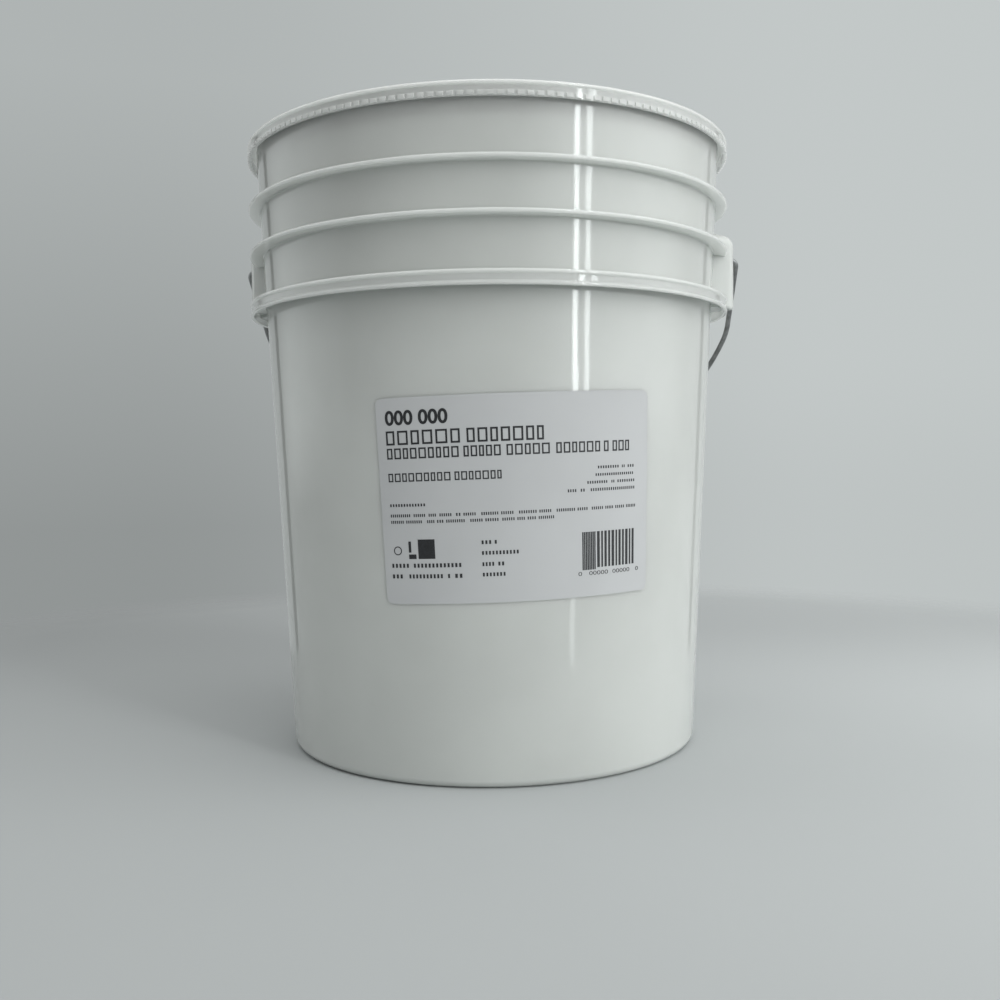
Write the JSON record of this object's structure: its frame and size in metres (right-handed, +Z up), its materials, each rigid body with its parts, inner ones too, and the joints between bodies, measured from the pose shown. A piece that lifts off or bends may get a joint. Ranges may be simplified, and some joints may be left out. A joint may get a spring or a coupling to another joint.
{
  "type": "bucket of pickles",
  "caption": "Tall white plastic food pail, shut by a press-on lid, with ring flanges under the rim, a plain data label and a swinging steel wire bail with a plastic grip.",
  "frame": {"origin": "centre of the flat bottom, on the surface that the pail stands on", "axes": "+Z up along the pail's axis; X runs through both ears and is the axis the bail turns about; the bail hangs at the +Y side and the label is on the -Y side, a little towards +X"},
  "size_m": [0.3212, 0.3094, 0.3715],
  "materials": {
    "pail_plastic": "smooth natural white polyethylene, slightly translucent, glossy",
    "lid_plastic": "smooth natural white polyethylene, glossy",
    "label_stock": "matt white label stock with plain dark print",
    "wire": "dull grey drawn steel wire",
    "grip_plastic": "smooth white plastic sleeve"
  },
  "bodies": {
    "pail": {"pail": "pail_plastic", "lid": "lid_plastic", "label": "label_stock"},
    "bail": {"bail": "wire", "grip": "grip_plastic"}
  },
  "joints": [
    {"name": "bail_swing", "type": "hinge", "parent": "pail", "child": "bail", "pos_m": [0, 0, 0.3038], "axis": [1, 0, 0], "range_deg": [0, 262]}
  ]
}
